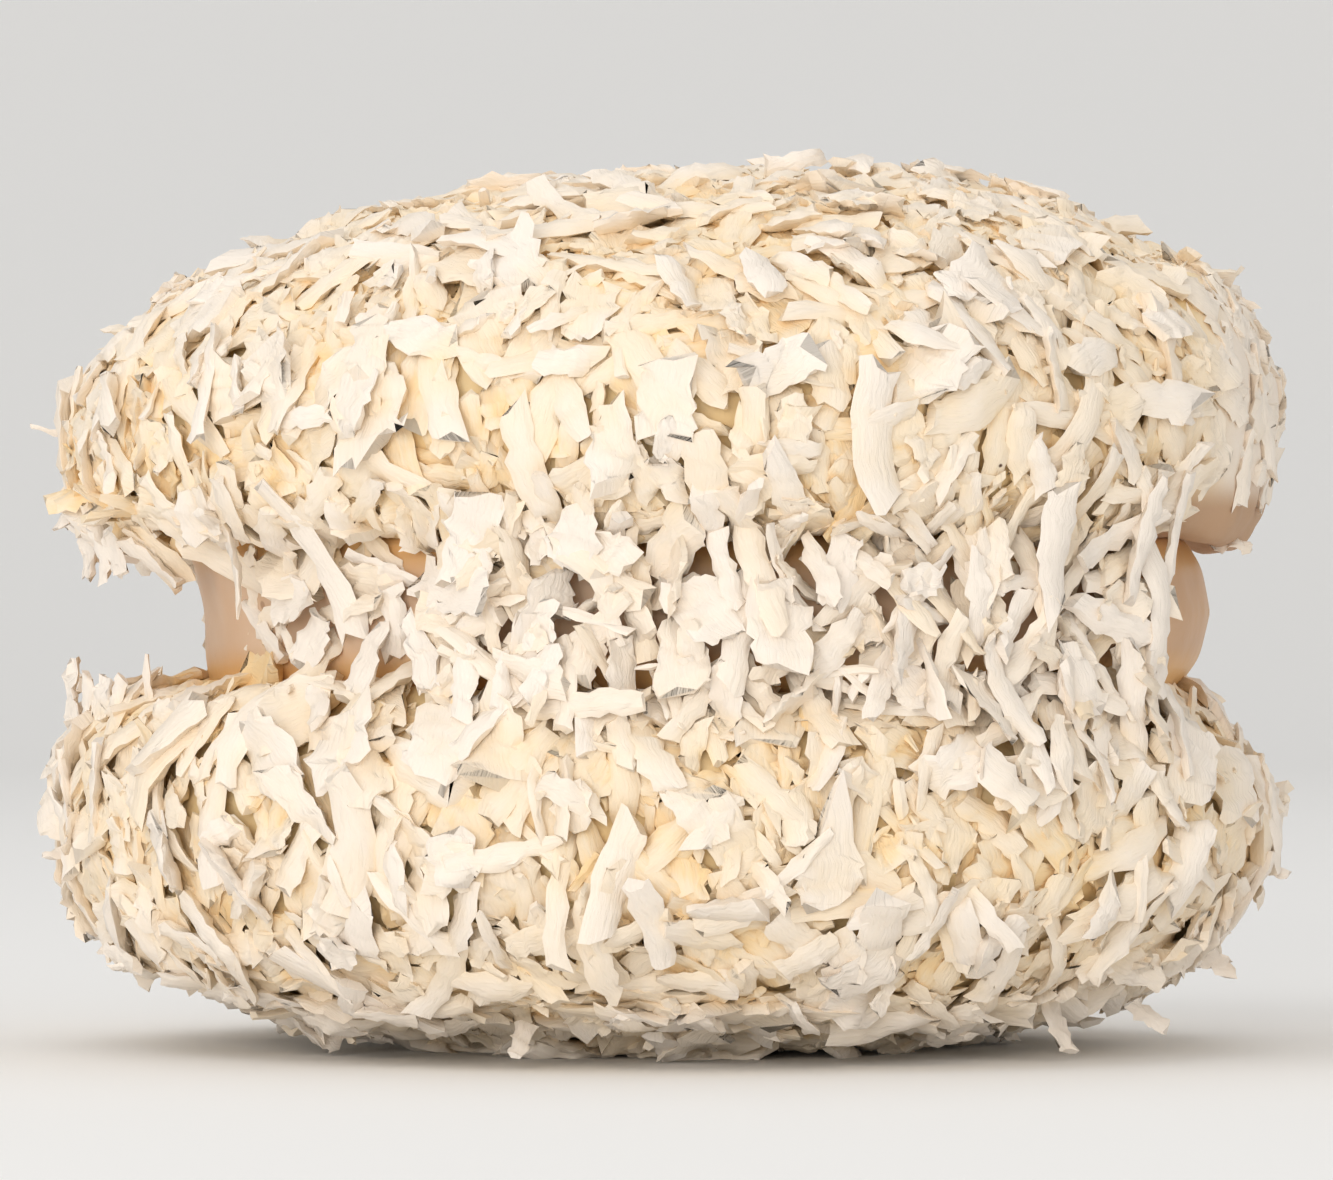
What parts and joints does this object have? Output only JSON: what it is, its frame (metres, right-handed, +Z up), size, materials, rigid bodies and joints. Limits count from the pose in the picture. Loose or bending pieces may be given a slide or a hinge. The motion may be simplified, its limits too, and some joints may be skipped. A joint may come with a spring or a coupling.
{
  "type": "coconut macaron",
  "caption": "Round sandwich macaron: domed shells coated in shredded coconut, joined by a recessed disc of cream filling.",
  "frame": {"origin": "centre of the bounding box's plan, on the surface that the macaron stands on", "axes": "+Z up through both shells; the pictured side faces -Y, with +X to its right"},
  "size_m": [0.0446, 0.045, 0.0319],
  "materials": {
    "coconut_coat": "ivory shreds and flakes of dried coconut on a pale golden coat, matte",
    "cream_filling": "smooth peach-tan cream, soft sheen"
  },
  "bodies": {
    "root": {"bottom_shell": "coconut_coat", "filling": "cream_filling", "top_shell": "coconut_coat"}
  },
  "joints": []
}
